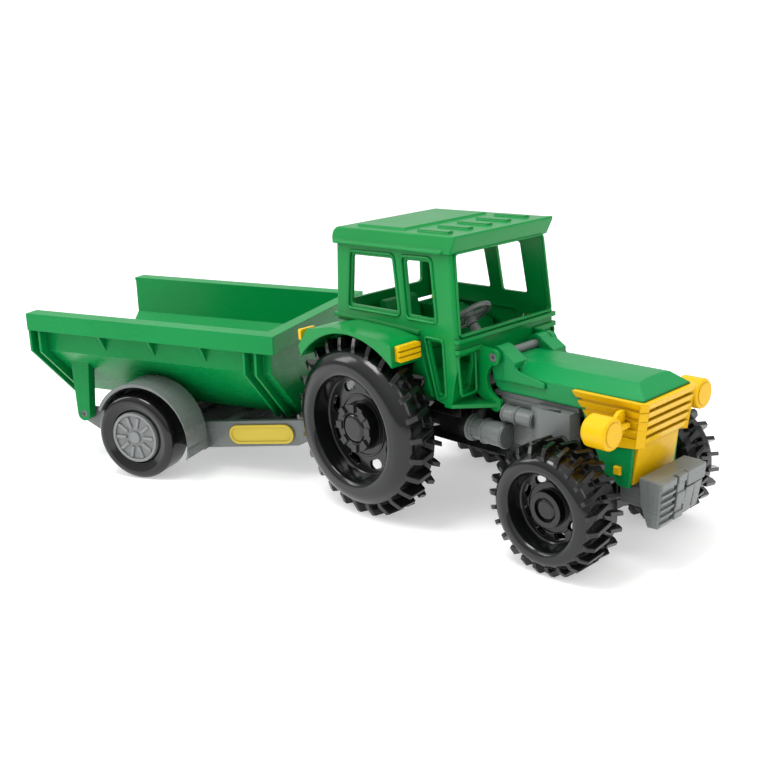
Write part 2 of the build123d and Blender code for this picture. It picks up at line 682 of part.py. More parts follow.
# ---------------------------------------------------------------- hood with grille and headlights
def make_hood():
    """Green hood: an open shell with sloped edges, pin ears at the back and legs behind the grille."""
    half = HOOD_HALF
    section = mirrored_outline([(-half, HOOD_LOW), (-half, CREASE_Z), (-15.5, 112.2), (-8, HOOD_TOP)])
    hollow_half = [(-half + WALL, HOOD_LOW - 60), (-half + WALL, CREASE_Z - 1), (-15, 110), (-8, HOOD_TOP - WALL)]
    hollow = mirrored_outline(hollow_half)
    with BuildPart() as hood:
        with BuildSketch(cross_plane(HOOD_REAR + 3)):
            Polygon(*section, align=None)
        extrude(amount=HOOD_NOSE - HOOD_REAR - 3)
        # lower rear corners reach back under the pin
        with BuildSketch(side_plane(-half)):
            Polygon(
                (HOOD_REAR + 4, HOOD_LOW), (HOOD_REAR, 95), (HOOD_REAR - 2, 99), (HOOD_REAR + 4, 106),
                align=None,
            )
        extrude(amount=-2 * half)
        # legs behind the grille, down to the ballast
        with BuildSketch(side_plane(-half)):
            Polygon(
                (150, HOOD_LOW + 1), (188, HOOD_LOW + 1), (183.5, 50), (177, 50), (166, 56), (158, 74),
                align=None,
            )
        extrude(amount=-2 * half)
        # nose slopes back towards the top
        with BuildSketch(side_plane(-half - 1)):
            Polygon((HOOD_NOSE + 1, CREASE_Z), (182, HOOD_TOP + 1), (HOOD_NOSE + 1, HOOD_TOP + 1), align=None)
        extrude(amount=-2 * half - 2, mode=Mode.SUBTRACT)
        with BuildSketch(cross_plane(HOOD_REAR - 5)):
            Polygon(*hollow, align=None)
        extrude(amount=180 - HOOD_REAR + 5, mode=Mode.SUBTRACT)
        # open front below the nose, where the grille closes it
        with BuildSketch(cross_plane(170)):
            with Locations((0, 70)):
                Rectangle(2 * (half - WALL), 60)
        extrude(amount=40, mode=Mode.SUBTRACT)
        with BuildSketch(Plane.XY.offset(CREASE_Z - 0.4)):
            with Locations((HOOD_NOSE, 0)):
                Rectangle(10.4, 2 * half + 2)
        extrude(amount=-40, mode=Mode.SUBTRACT)
        # broad knuckles round the pin, and the side walls' ears outside them
        for y, thick in ((-13, 12.6), (25.6, 12.6)):
            with BuildSketch(side_plane(y)):
                with BuildLine():
                    Polyline((81, 111), (88, 108), (101, 108), (101, 112.6), (91, 119))
                    ThreePointArc((91, 119), (85.5, 121.3), (81, 111))
                make_face()
            extrude(amount=thick)
        for y in (-22.6, 25.6):
            with BuildSketch(side_plane(y)):
                with BuildLine():
                    Polyline((84, 99), (106, 102), (98, 106), (93.5, 113.5))
                    ThreePointArc((93.5, 113.5), (87.5, 121.6), (79.8, 114.5))
                    Polyline((79.8, 114.5), (84, 99))
                make_face()
            extrude(amount=3)
        with BuildSketch(side_plane(-30)):
            with Locations(HINGE):
                Circle(PIN_R + RUNNING)
        extrude(amount=-60, mode=Mode.SUBTRACT)
    save(hood.part, "hood")

    with BuildPart() as pin:
        with BuildSketch(side_plane(-28.9)):
            with Locations(HINGE):
                Circle(PIN_R)
        extrude(amount=-57.8)
        for y in (-27.9, 28.9):
            with BuildSketch(side_plane(y)):
                with Locations(HINGE):
                    Circle(1.3)
            extrude(amount=1, mode=Mode.SUBTRACT)
    save(pin.part, "hood_pin")


def make_grille():
    """Yellow grille wrapping the nose: five sloping louvres, corner posts and the plain panel below."""
    with BuildPart() as grille:
        with BuildSketch(side_plane(-HOOD_HALF - 1.4)):
            Polygon((149, 103.8), (193.4, 103.8), (189.4, 76), (166, 73.5), (158, 86), align=None)
        extrude(amount=-2 * HOOD_HALF - 2.8)
        # louvres: each slopes in below its edge, and each is shorter than the one above
        for step in range(5):
            front = 197.2 - 1.0 * step
            rear = 146.0 + 3.6 * step
            width = 27.8 - 0.35 * step
            with BuildSketch(Plane.XY.offset(104.0 - 5.5 * step)):
                Polygon(
                    (rear, -width), (front - 3.5, -width), (front, -width + 3.5),
                    (front, width - 3.5), (front - 3.5, width), (rear, width), align=None,
                )
            extrude(amount=-4.0, taper=22)
        # corner posts
        for side in (-1, 1):
            for z, shift in ((76.4, -4.2), (104.0, 0.0)):
                with BuildSketch(Plane.XY.offset(z)):
                    Polygon(
                        (193.2 + shift, side * (27.4 + shift * 0.3)), (
                            197.0 + shift, side * (23.6 + shift * 0.3),
                        ),
                        (194.0 + shift, side * (20.6 + shift * 0.3)), (
                            190.2 + shift, side * (24.4 + shift * 0.3),
                        ),
                        align=None,
                    )
            loft()
        # room for the hood inside the U
        with BuildSketch(Plane.XY.offset(70)):
            with Locations((138, 0)):
                Rectangle(100, 2 * HOOD_HALF + 0.06)
        extrude(amount=40, mode=Mode.SUBTRACT)
        # lower panel
        with BuildSketch(side_plane(-21)):
            Polygon((180, 78), (188.2, 78), (184.2, 51.5), (181, 51.5), align=None)
        extrude(amount=-42)
    save(grille.part, "grille")

    for side in (-1, 1):
        with BuildPart() as lamp:
            with BuildSketch(cross_plane(172.6)):
                with Locations((side * LAMP_Y, LAMP_Z)):
                    Circle(LAMP_R - 1.5)
            extrude(amount=3)
            with BuildSketch(cross_plane(174.4)):
                with Locations((side * LAMP_Y, LAMP_Z)):
                    Circle(LAMP_R)
            extrude(amount=14.6)
            fillet(lamp.faces().sort_by(Axis.X)[-1].edges(), 1.6)
            with BuildSketch(cross_plane(188.8)):
                with Locations((side * LAMP_Y, LAMP_Z)):
                    Circle(LAMP_R - 2.6)
            extrude(amount=0.8)
            # bracket fins back to the grille's side
            with BuildSketch(Plane.XY.offset(LAMP_Z - 1.2)):
                with Locations((181.5, side * 33.2)):
                    Rectangle(11, 10.6)
            extrude(amount=2.6)
            with BuildSketch(cross_plane(181)):
                Polygon(
                    (side * 28.2, LAMP_Z - 5.5), (side * 28.2, LAMP_Z + 8.5), (side * 33, LAMP_Z + 8.5),
                    (side * 39.6, LAMP_Z + 4), (side * 39.6, LAMP_Z - 4), align=None,
                )
            extrude(amount=2.6)
        save(lamp.part, f"headlight_{side_name(side)}")


# ---------------------------------------------------------------- trailer
def make_trailer_chassis(place):
    """Grey trailer chassis: side plates, cross beams, wheel arches and the rising drawbar."""
    plate = 4.0
    with BuildPart() as frame:
        for side in (-1, 1):
            with BuildSketch(side_plane(-PLATE_Y if side < 0 else PLATE_Y)):
                with BuildLine():
                    Polyline(
                        (-66, 43), (-20, 42), (42, 38.5), (134, 47), (134, 31), (124, 26), (42, 17.5),
                        (0, 19), (-58, 24), (-73, 32), (-73, 44), close=True,
                    )
                make_face()
                with Locations(TIP_PIN):
                    Circle(PIN_R, mode=Mode.SUBTRACT)
            extrude(amount=-plate if side < 0 else plate)
        # cross beams
        for x, z, height in ((-50, 26, 15), (60, 20, 18), (128, 30, 20)):
            with BuildSketch(Plane.XY.offset(z)):
                with Locations((x, 0)):
                    Rectangle(8, 2 * PLATE_Y - 2)
            extrude(amount=height)
        # bed between the plates
        with BuildSketch(side_plane(-PLATE_Y + 2)):
            Polygon((-54, 25), (42, 24), (130, 31), (130, 34), (42, 27), (-54, 28), align=None)
        extrude(amount=-2 * PLATE_Y + 4)
        # headboard stub in front of the tub
        with BuildSketch(Plane.XY.offset(44)):
            with Locations((131.5, 0)):
                Rectangle(5, 2 * PLATE_Y)
        extrude(amount=18)
        # axle tube
        with BuildSketch(side_plane(-PLATE_Y - 2)):
            with Locations((0, TRAILER_R)):
                Circle(8)
        extrude(amount=-2 * PLATE_Y - 4)
        # wheel arches
        for side in (-1, 1):
            with BuildSketch(side_plane(-81.5 if side < 0 else 81.5)):
                with BuildLine():
                    ThreePointArc((-31, 54), (2.5, 76.5), (47, 27))
                    Polyline((47, 27), (47.6, 21), (44.6, 19))
                    ThreePointArc((44.6, 19), (2.5, 73.9), (-28.6, 52.6))
                    Polyline((-28.6, 52.6), (-31, 54))
                make_face()
            extrude(amount=-26.9 if side < 0 else 26.9)
            # inner wall of the arch, stepped out from the side plate
            with BuildSketch(side_plane(-57 if side < 0 else 57)):
                with BuildLine():
                    ThreePointArc((-30, 54), (2.5, 75.5), (46, 27))
                    Polyline((46, 27), (46, 19), (-30, 24), (-30, 54))
                make_face()
            extrude(amount=-2.4 if side < 0 else 2.4)
            with BuildSketch(side_plane(-55 if side < 0 else 55)):
                Polygon((-30, 24), (-30, 50), (-22, 60), (28, 60), (40, 48), (46, 19), align=None)
            extrude(amount=-8 if side < 0 else 8)
        # drawbar and its eye
        with BuildSketch(Plane.XY.offset(HITCH_Z - 4)):
            with BuildLine():
                Polyline((126, -30), (140, -7), (DRAW, -6), (DRAW, 6), (140, 7), (126, 30), close=True)
            make_face()
            with Locations((DRAW, 0)):
                Circle(8.4)
                Circle(PIN_R + RUNNING, mode=Mode.SUBTRACT)
        extrude(amount=8)
        # rail the tub rests on
        with BuildSketch(Plane.XY.offset(28)):
            with Locations((94, 0)):
                Rectangle(6, 42)
        extrude(amount=RAIL_TOP - 28)
        with BuildSketch(side_plane(-60)):
            with Locations((0, TRAILER_R)):
                Circle(AXLE_R + RUNNING)
        extrude(amount=-120, mode=Mode.SUBTRACT)
    save(frame.part, "trailer_chassis", place)


def in_tub(point):
    """Where a point of the trailer's side view lies on the tub before the tub is tilted."""
    tilt = radians(TUB_TILT)
    x, z = point[0] - TUB_PIVOT_X, point[1] - TUB_RIM
    return (TUB_PIVOT_X + x * cos(tilt) - z * sin(tilt), TUB_RIM + x * sin(tilt) + z * cos(tilt))


def tub_section(offset_top, shrink):
    """Half outline of the tub across the trailer, from the rim down to the flat bottom."""
    return [
        (-67.5 + shrink, offset_top), (-67.5 + shrink, 91 + 0.4 * shrink),
        (-22.5 + 0.4 * shrink, TUB_FLOOR + shrink),
    ]


def make_tub(place):
    """Green tub: sloped side walls, open back, wide rim, ribs and the two tipping legs."""
    rim_wall = 67.5
    px, pz = in_tub(TIP_PIN)
    with BuildPart() as tub:
        with BuildSketch(cross_plane(TUB_REAR + 1)):
            Polygon(*mirrored_outline(tub_section(TUB_RIM - 0.2, 0)), align=None)
        extrude(amount=119 - TUB_REAR - 1)
        with BuildSketch(cross_plane(TUB_REAR - 1)):
            Polygon(*mirrored_outline(tub_section(TUB_RIM + 1, WALL)), align=None)
        extrude(amount=117 - TUB_REAR, mode=Mode.SUBTRACT)
        # rim: flat top and a skirt, along both sides and across the front
        with BuildSketch(Plane.XY.offset(TUB_RIM - 2.4)):
            with BuildLine():
                Polyline(
                    (TUB_REAR, -TUB_HALF), (TUB_FRONT, -TUB_HALF), (TUB_FRONT, TUB_HALF), (
                        TUB_REAR, TUB_HALF,
                    ),
                    (TUB_REAR, rim_wall - WALL), (117, rim_wall - WALL), (117, -rim_wall + WALL),
                    (TUB_REAR, -rim_wall + WALL), close=True,
                )
            make_face()
        extrude(amount=2.4)
        with BuildSketch(Plane.XY.offset(TUB_RIM - 13.5)):
            with BuildLine():
                Polyline(
                    (TUB_REAR, -TUB_HALF), (TUB_FRONT, -TUB_HALF), (TUB_FRONT, TUB_HALF), (
                        TUB_REAR, TUB_HALF,
                    ),
                    (TUB_REAR, TUB_HALF - 2), (TUB_FRONT - 2, TUB_HALF - 2), (TUB_FRONT - 2, -TUB_HALF + 2),
                    (TUB_REAR, -TUB_HALF + 2), close=True,
                )
            make_face()
        extrude(amount=13)
        # double ribs at both ends, following the wall 9 mm out
        for x in (TUB_REAR, -82.0, 101.0, 110.5):
            for side in (-1, 1):
                with BuildSketch(cross_plane(x)):
                    Polygon(
                        (side * 66, 121), (side * 77, 110), (side * 77, 92), (side * 31, TUB_FLOOR - 1.5),
                        (side * 22, TUB_FLOOR + 0.6), (side * 66, 91.5), align=None,
                    )
                extrude(amount=2)
        # gussets under the rim
        for x in (-27, 18, 63):
            for side in (-1, 1):
                with BuildSketch(cross_plane(x)):
                    Polygon((side * 67, 111), (side * 77, 111), (side * 67, 94.5), align=None)
                extrude(amount=1.8)
        # tipping legs outside the chassis plates
        for side in (-1, 1):
            with BuildSketch(side_plane(-56.5 if side < 0 else 56.5)):
                with BuildLine():
                    Polyline((px - 7.5, 84), (px + 10, 84), (px + 6, pz))
                    ThreePointArc((px + 6, pz), (px, pz - 6), (px - 6, pz))
                    Polyline((px - 6, pz), (px - 7.5, 84))
                make_face()
                with Locations((px, pz)):
                    Circle(PIN_R + RUNNING, mode=Mode.SUBTRACT)
            extrude(amount=-7.5 if side < 0 else 7.5)
        # clear the legs' tops out of the load space
        with BuildSketch(cross_plane(TUB_REAR - 1)):
            Polygon(*mirrored_outline(tub_section(TUB_RIM + 1, WALL)), align=None)
        extrude(amount=117 - TUB_REAR, mode=Mode.SUBTRACT)
    save(tub.part, "tub", place)


def make_trailer_small(place):
    """Tipping pins, wheels, hub caps and the plain side badges."""
    bore = AXLE_R + 0.02
    for side in (-1, 1):
        name = side_name(side)
        with BuildPart() as pin:
            with BuildSketch(side_plane(-56.2 if side < 0 else 56.2)):
                with Locations(TIP_PIN):
                    Circle(PIN_R)
            extrude(amount=-12.2 if side < 0 else 12.2)
            with BuildSketch(side_plane(side * 56.2)):
                with Locations(TIP_PIN):
                    Rectangle(4, 1)
                    Rectangle(1, 4)
            extrude(amount=-0.8 if side < 0 else 0.8, mode=Mode.SUBTRACT)
        save(pin.part, f"tipping_pin_{name}", place)

        with BuildPart() as wheel:
            with BuildSketch(half_plane(0, TRAILER_R, side)):
                with BuildLine():
                    Polyline((77.5, bore), (77.5, 20.6), (79.6, 21.0), (81.4, 26))
                    ThreePointArc((81.4, 26), (81.1, 31.6), (78.2, 33.5))
                    Polyline((78.2, 33.5), (60.5, 33.5))
                    ThreePointArc((60.5, 33.5), (58.2, 32.8), (57.4, 30.5))
                    Polyline(
                        (57.4, 30.5), (59.5, 29.5), (61.5, 31), (76.8, 31), (78.8, 28), (77.2, 23.5),
                        (74.5, 22.5), (74.5, 6), (57.6, 6), (57.6, bore), (77.5, bore),
                    )
                make_face()
            revolve(axis=Axis((0, 0, TRAILER_R), (0, 1, 0)))
        save(wheel.part, f"trailer_wheel_{name}", place)

        cap_face = Plane(origin=(0, side * 77.55, TRAILER_R), x_dir=(1, 0, 0), z_dir=(0, side, 0))
        with BuildPart() as cap:
            with BuildSketch(cap_face):
                Circle(20.0)
            extrude(amount=2.6)
            with BuildSketch(cap_face.offset(2.6)):
                with PolarLocations(12.2, 10):
                    Rectangle(9, 2.4)
                Circle(4.6)
                Circle(19.6)
                Circle(17.4, mode=Mode.SUBTRACT)
                with PolarLocations(12.2, 10):
                    Rectangle(9, 2.4)
                Circle(4.6)
            extrude(amount=1.3)
        save(cap.part, f"trailer_hub_cap_{name}", place)

        badge_face = Plane(origin=(93, side * (PLATE_Y + 0.02), 32.8), x_dir=(1, 0, 0.09), z_dir=(0, side, 0))
        with BuildPart() as badge:
            with BuildSketch(badge_face):
                SlotOverall(56, 15)
            extrude(amount=1.2)
            with BuildSketch(badge_face.offset(1.2)):
                SlotOverall(56, 15)
                SlotOverall(52, 11, mode=Mode.SUBTRACT)
            extrude(amount=0.6)
        save(badge.part, f"badge_{name}", place)


def make_tow_pin():
    """Drop-in tow pin with a round knob."""
    with BuildPart() as pin:
        with BuildSketch(Plane.XY.offset(HITCH_Z - 13)):
            with Locations((HITCH_X, 0)):
                Circle(PIN_R - 0.03)
        extrude(amount=21.02)
        with BuildSketch(Plane.XY.offset(HITCH_Z + 8.02)):
            with Locations((HITCH_X, 0)):
                Circle(6)
        extrude(amount=4)
    save(pin.part, "tow_pin")


def main():
    make_chassis()
    make_axle("rear_axle", 0, REAR_R, 71)
    make_axle("front_axle", WHEELBASE, FRONT_R, 58)
    make_tractor_wheels()
    make_engine()
    make_front_weight()
    make_cab()
    make_roof()
    for side in (-1, 1):
        make_fender(side)
    make_lamps()
    make_cab_inside()
    make_hood()
    make_grille()
    make_tow_pin()
    # the trailer is drawn straight, from its own axle, then swung about the tow pin
    yaw = radians(TRAILER_YAW)
    trailer = Location(
        (HITCH_X - DRAW * cos(yaw), -DRAW * sin(yaw), 0), (0, 0, TRAILER_YAW),
    )
    pivot = Location((TUB_PIVOT_X, 0, TUB_RIM))
    tilted = trailer * pivot * Location((0, 0, 0), (0, TUB_TILT, 0)) * pivot.inverse()
    make_trailer_chassis(trailer)
    make_axle("trailer_axle", 0, TRAILER_R, 77.4, trailer)
    make_tub(tilted)
    make_trailer_small(trailer)


main()
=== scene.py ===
"""Toy tractor and tipping trailer: finishes, moulded details, studio and camera over the frame."""
import json
import math

import bmesh
import bpy
from mathutils import Matrix, Vector


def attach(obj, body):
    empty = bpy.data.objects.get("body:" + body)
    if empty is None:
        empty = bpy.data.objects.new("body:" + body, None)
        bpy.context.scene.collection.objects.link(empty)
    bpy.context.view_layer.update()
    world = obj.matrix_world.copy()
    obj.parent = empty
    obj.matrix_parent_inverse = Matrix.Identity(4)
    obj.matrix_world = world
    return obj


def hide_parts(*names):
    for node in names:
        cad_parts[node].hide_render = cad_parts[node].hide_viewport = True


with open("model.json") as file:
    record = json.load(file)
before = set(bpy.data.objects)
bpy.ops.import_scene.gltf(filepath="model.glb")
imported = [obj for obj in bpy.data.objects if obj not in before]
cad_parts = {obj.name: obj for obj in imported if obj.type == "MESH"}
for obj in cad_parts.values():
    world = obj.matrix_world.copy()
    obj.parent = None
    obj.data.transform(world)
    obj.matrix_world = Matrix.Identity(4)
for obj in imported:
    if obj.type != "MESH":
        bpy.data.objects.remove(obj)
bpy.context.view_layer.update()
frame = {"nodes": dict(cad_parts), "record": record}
nodes = frame["nodes"]


# ---------------------------------------------------------------- shader helpers
def noise(tree, vector, scale, detail):
    """Noise texture over the given coordinates."""
    node = tree.nodes.new("ShaderNodeTexNoise")
    node.inputs["Scale"].default_value = scale
    node.inputs["Detail"].default_value = detail
    tree.links.new(vector, node.inputs["Vector"])
    return node.outputs["Fac"]


def remap(tree, value, source, target):
    """Map a value from one (low, high) span to another, clamped at its ends."""
    node = tree.nodes.new("ShaderNodeMapRange")
    for label, number in zip(("From Min", "From Max", "To Min", "To Max"), (*source, *target)):
        node.inputs[label].default_value = number
    tree.links.new(value, node.inputs["Value"])
    return node.outputs["Result"]


def ramp(tree, value, colours, stops=(0.0, 1.0)):
    """Two-colour ramp."""
    node = tree.nodes.new("ShaderNodeValToRGB")
    for element, colour, stop in zip(node.color_ramp.elements, colours, stops):
        element.position = stop
        element.color = (*colour, 1)
    tree.links.new(value, node.inputs["Fac"])
    return node.outputs["Color"]


def bump(tree, height, normal, strength, distance):
    """Bump of the given height, laid over another normal."""
    node = tree.nodes.new("ShaderNodeBump")
    node.inputs["Strength"].default_value = strength
    node.inputs["Distance"].default_value = distance
    tree.links.new(height, node.inputs["Height"])
    tree.links.new(normal, node.inputs["Normal"])
    return node.outputs["Normal"]


# ---------------------------------------------------------------- materials
# scale and detail of each effect's noise
DRIFT_NOISE, STREAK_NOISE = (14.0, 3.0), (60.0, 5.0)
SINK_NOISE, GRAIN_NOISE = (22.0, 1.0), (2600.0, 2.0)

DRIFT_STOPS = (0.30, 0.72)       # where the slow colour drift reaches its two ends
LIGHT_LIFT = 0.002               # added to the drift's lighter end
HIGHLIGHT_GAIN, HIGHLIGHT_LIFT = 1.35, 0.03  # colour of the painted highlight on a sharp edge, from the plastic's own
HIGHLIGHT_SPAN = (0.52, 0.62)          # pointiness at which the painted edge highlight starts and ends
HIGHLIGHT_MOST = 0.12                  # share of that colour at the sharpest edge
CORNER_REACH = 0.006             # metres within which a neighbour shades a corner
CORNER_SAMPLES = 6
CORNER_SPAN = (0.25, 0.95)       # openness at which the shade is deepest and gone
CORNER_SHADE = (0.62, 1.0)       # brightness there
STREAK_STRETCH = (0.35, 1.0, 1.6)
STREAK_SPAN = (0.3, 0.7)
GLOSS_SPREAD = (0.82, 1.22)      # share of the roughness at the two ends of a streak
SOFT_SAMPLES = 4
SINK_STRENGTH, SINK_DEPTH = 0.05, 0.0003
GRAIN_STRENGTH, GRAIN_DEPTH = 0.12, 0.00006


def plastic(name, colour, rough, vary=0.05, grain=0.0, spec=0.4, soft=0.0007):
    """Moulded plastic with colour drift, painted highlights on sharp edges, painted shade in
    inside corners, gloss streaks and grain.

    soft is the radius in metres by which the shader rounds the normals at an edge.
    """
    mat = bpy.data.materials.new(name)
    mat.use_nodes = True
    tree = mat.node_tree
    bsdf = tree.nodes["Principled BSDF"]
    bsdf.inputs["Specular IOR Level"].default_value = spec
    place = tree.nodes.new("ShaderNodeTexCoord").outputs["Object"]

    dark = [c * (1 - vary) for c in colour]
    light = [min(1.0, c * (1 + vary) + LIGHT_LIFT) for c in colour]
    highlight_colour = [min(1.0, c * HIGHLIGHT_GAIN + HIGHLIGHT_LIFT) for c in colour]
    drift = ramp(tree, noise(tree, place, *DRIFT_NOISE), (dark, light), DRIFT_STOPS)

    # painted highlight: sharp outer edges are mixed towards a paler colour of the plastic
    edge_sharpness = tree.nodes.new("ShaderNodeNewGeometry").outputs["Pointiness"]
    edge_highlight_mix = tree.nodes.new("ShaderNodeMix")
    edge_highlight_mix.data_type = "RGBA"
    tree.links.new(remap(tree, edge_sharpness, HIGHLIGHT_SPAN, (0.0, HIGHLIGHT_MOST)), edge_highlight_mix.inputs["Factor"])
    tree.links.new(drift, edge_highlight_mix.inputs["A"])
    edge_highlight_mix.inputs["B"].default_value = (*highlight_colour, 1)

    # painted shade: an ambient occlusion node darkens the base colour in the inside corners
    corner = tree.nodes.new("ShaderNodeAmbientOcclusion")
    corner.samples = CORNER_SAMPLES
    corner.inputs["Distance"].default_value = CORNER_REACH
    corner_painted_shade = remap(tree, corner.outputs["AO"], CORNER_SPAN, CORNER_SHADE)
    shaded = tree.nodes.new("ShaderNodeVectorMath")
    shaded.operation = "SCALE"
    tree.links.new(edge_highlight_mix.outputs["Result"], shaded.inputs[0])
    tree.links.new(corner_painted_shade, shaded.inputs["Scale"])
    tree.links.new(shaded.outputs["Vector"], bsdf.inputs["Base Color"])

    # flow streaks in the gloss
    stretch = tree.nodes.new("ShaderNodeMapping")
    stretch.inputs["Scale"].default_value = STREAK_STRETCH
    tree.links.new(place, stretch.inputs["Vector"])
    streak = noise(tree, stretch.outputs["Vector"], *STREAK_NOISE)
    gloss = remap(tree, streak, STREAK_SPAN, [rough * share for share in GLOSS_SPREAD])
    tree.links.new(gloss, bsdf.inputs["Roughness"])

    # soft edge, then slow sink waves, then the fine grain of the mould
    edge = tree.nodes.new("ShaderNodeBevel")
    edge.samples = SOFT_SAMPLES
    edge.inputs["Radius"].default_value = soft
    sink = noise(tree, place, *SINK_NOISE)
    wavy = bump(tree, sink, edge.outputs["Normal"], SINK_STRENGTH, SINK_DEPTH)
    fine = noise(tree, place, *GRAIN_NOISE)
    grainy = bump(tree, fine, wavy, GRAIN_STRENGTH + grain, GRAIN_DEPTH)
    tree.links.new(grainy, bsdf.inputs["Normal"])
    return mat


MATS = {
    "green_plastic": plastic(
        "green_moulding", (0.000, 0.235, 0.044), 0.22, spec=0.22, soft=0.0011),
    "hood_green": plastic(
        "hood_moulding", (0.000, 0.250, 0.060), 0.28, grain=0.1, spec=0.24, soft=0.0018),
    "tub_green": plastic(
        "tub_moulding", (0.000, 0.240, 0.052), 0.28, spec=0.16, soft=0.0009),
    "yellow_plastic": plastic(
        "yellow_moulding", (0.80, 0.47, 0.002), 0.27, vary=0.04, spec=0.2),
    "grey_plastic": plastic(
        "silver_grey_moulding", (0.150, 0.166, 0.160), 0.27, vary=0.08, spec=0.5, soft=0.0008),
    "hub_grey": plastic("hub_cap_moulding", (0.22, 0.23, 0.23), 0.32),
    "black_plastic": plastic(
        "black_moulding", (0.0040, 0.0046, 0.0044), 0.15, vary=0.15, spec=0.45),
    "tyre_plastic": plastic(
        "smooth_black_moulding", (0.0050, 0.0050, 0.0055), 0.14, vary=0.15, spec=0.45),
    "badge_yellow": plastic("badge_print", (0.66, 0.50, 0.04), 0.35),
    "steel": plastic("axle_steel", (0.55, 0.55, 0.56), 0.3),
}
MATS["steel"].node_tree.nodes["Principled BSDF"].inputs["Metallic"].default_value = 1.0

# Bevel widths asked of the CAD nodes, in metres. The modifier's overlap clamp holds most of them
# far below this. Only cab_roof, cab_tray, chassis and the trailer wheels come out well rounded;
# elsewhere what looks soft is the shader's edge.
BEVEL = {
    "cab_shell": 0.0008, "cab_roof": 0.0012, "hood": 0.0022, "grille": 0.0007,
    "headlight_right": 0.0005, "headlight_left": 0.0005, "tub": 0.0008,
    "trailer_chassis": 0.0006, "engine": 0.0012, "front_weight": 0.0016,
    "fender_right": 0.0010, "fender_left": 0.0010,
}
BEVEL_ELSEWHERE = 0.0004
WELD_DISTANCE = 0.00001


def soften(obj, width, segments, angle):
    """Bevel the edges sharper than an angle in degrees."""
    bevel = obj.modifiers.new("edge", "BEVEL")
    bevel.width = width
    bevel.segments = segments
    bevel.limit_method = "ANGLE"
    bevel.angle_limit = math.radians(angle)
    bevel.harden_normals = True


for part in frame["record"]["subparts"]:
    obj = nodes[part["node"]]
    obj.data.materials.clear()
    obj.data.materials.append(MATS[part["material_slot"]])
    weld = obj.modifiers.new("weld", "WELD")
    weld.merge_threshold = WELD_DISTANCE
    if part["material_slot"] != "steel":
        soften(obj, BEVEL.get(part["node"], BEVEL_ELSEWHERE), segments=2, angle=35)
    smooth = obj.modifiers.new("normals", "WEIGHTED_NORMAL")
    smooth.keep_sharp = False


# ---------------------------------------------------------------- mesh helpers
def new_piece(name, body, slot, fill, smooth=True):
    """Build a mesh with fill(bm), link it, give it its slot's material and ride it on its body."""
    bm = bmesh.new()
    fill(bm)
    bmesh.ops.recalc_face_normals(bm, faces=bm.faces)
    mesh = bpy.data.meshes.new(name)
    bm.to_mesh(mesh)
    bm.free()
    obj = bpy.data.objects.new(name, mesh)
    bpy.context.scene.collection.objects.link(obj)
    mesh.materials.append(MATS[slot])
    for face in mesh.polygons:
        face.use_smooth = smooth
    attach(obj, body)
    return obj


def mm(*p):
    """Point given in millimetres."""
    return Vector(p) * 0.001


def stitch(bm, first, second):
    """Band of quads between two closed rings of vertices."""
    count = len(first)
    for k in range(count):
        nxt = (k + 1) % count
        bm.faces.new((first[k], first[nxt], second[nxt], second[k]))


def rounded_loop(points, radius, steps=4):
    """Closed loop of 3-D points with its corners rounded."""
    loop = []
    for k, here in enumerate(points):
        before = (points[k - 1] - here).normalized()
        after = (points[(k + 1) % len(points)] - here).normalized()
        start, end = here + before * radius, here + after * radius
        for step in range(steps + 1):
            t = step / steps
            loop.append(start * (1 - t) ** 2 + here * 2 * t * (1 - t) + end * t * t)
    return loop


def tube(bm, loop, radius, normal, sides=8):
    """Closed round bead along a flat loop; normal is that of the loop's plane."""
    rings = []
    count = len(loop)
    for k, here in enumerate(loop):
        along = (loop[(k + 1) % count] - loop[k - 1]).normalized()
        out = along.cross(normal).normalized()
        ring = []
        for turn in range(sides):
            a = 2 * math.pi * turn / sides
            ring.append(bm.verts.new(
                here + out * radius * math.cos(a) + normal * radius * math.sin(a)))
        rings.append(ring)
    for k in range(count):
        stitch(bm, rings[k], rings[(k + 1) % count])


def lathe(bm, centre, axis, profile, sides=40):
    """Closed ring of revolution about an axis; the profile is (along, radius) points in order."""
    axis = Vector(axis).normalized()
    u = axis.orthogonal().normalized()
    v = axis.cross(u)
    rings = []
    for turn in range(sides):
        a = 2 * math.pi * turn / sides
        out = u * math.cos(a) + v * math.sin(a)
        rings.append([bm.verts.new(centre + axis * d + out * r) for d, r in profile])
    for turn in range(sides):
        stitch(bm, rings[turn], rings[(turn + 1) % sides])


def flat_block(bm, outline, normal, depth, chamfer=0.0005):
    """Prism on a flat outline, with a small chamfer round its top edge."""
    normal = Vector(normal).normalized()
    centre = sum(outline, Vector()) / len(outline)
    levels = []
    for height, shrink in ((0.0, 0.0), (depth - chamfer, 0.0), (depth, chamfer)):
        ring = []
        for p in outline:
            inward = (centre - p).normalized() * shrink
            ring.append(bm.verts.new(p + normal * height + inward))
        levels.append(ring)
    for a, b in zip(levels, levels[1:]):
        stitch(bm, a, b)
    bm.faces.new(levels[0])
    bm.faces.new(levels[-1])


def prism(bm, profile, y_from, y_to, taper=0.0):
    """Block with an X-Z profile between two Y planes, drawn in by taper at its lowest points.

    All in millimetres.
    """
    foot = min(z for x, z in profile)
    top = max(z for x, z in profile)
    ends = []
    for y, way in ((y_from, 1), (y_to, -1)):
        ends.append([bm.verts.new(mm(x, y + way * taper * (top - z) / (top - foot), z))
                     for x, z in profile])
    stitch(bm, ends[0], ends[1])
    bm.faces.new(ends[0])
    bm.faces.new(ends[1])


# ---------------------------------------------------------------- beads round the cab's openings
# The cab as in part.py, in mm: above the sill its sides and front lean in over RISE.
SILL, RISE = 130.0, 51.0
SIDE_Y, LEAN = 48.0, math.atan2(2.6, RISE)
FRONT_X, RAKE = 73.6, math.atan2(4.1, RISE)
SHARPEST = 0.3                   # least half-angle sine that grown() allows for

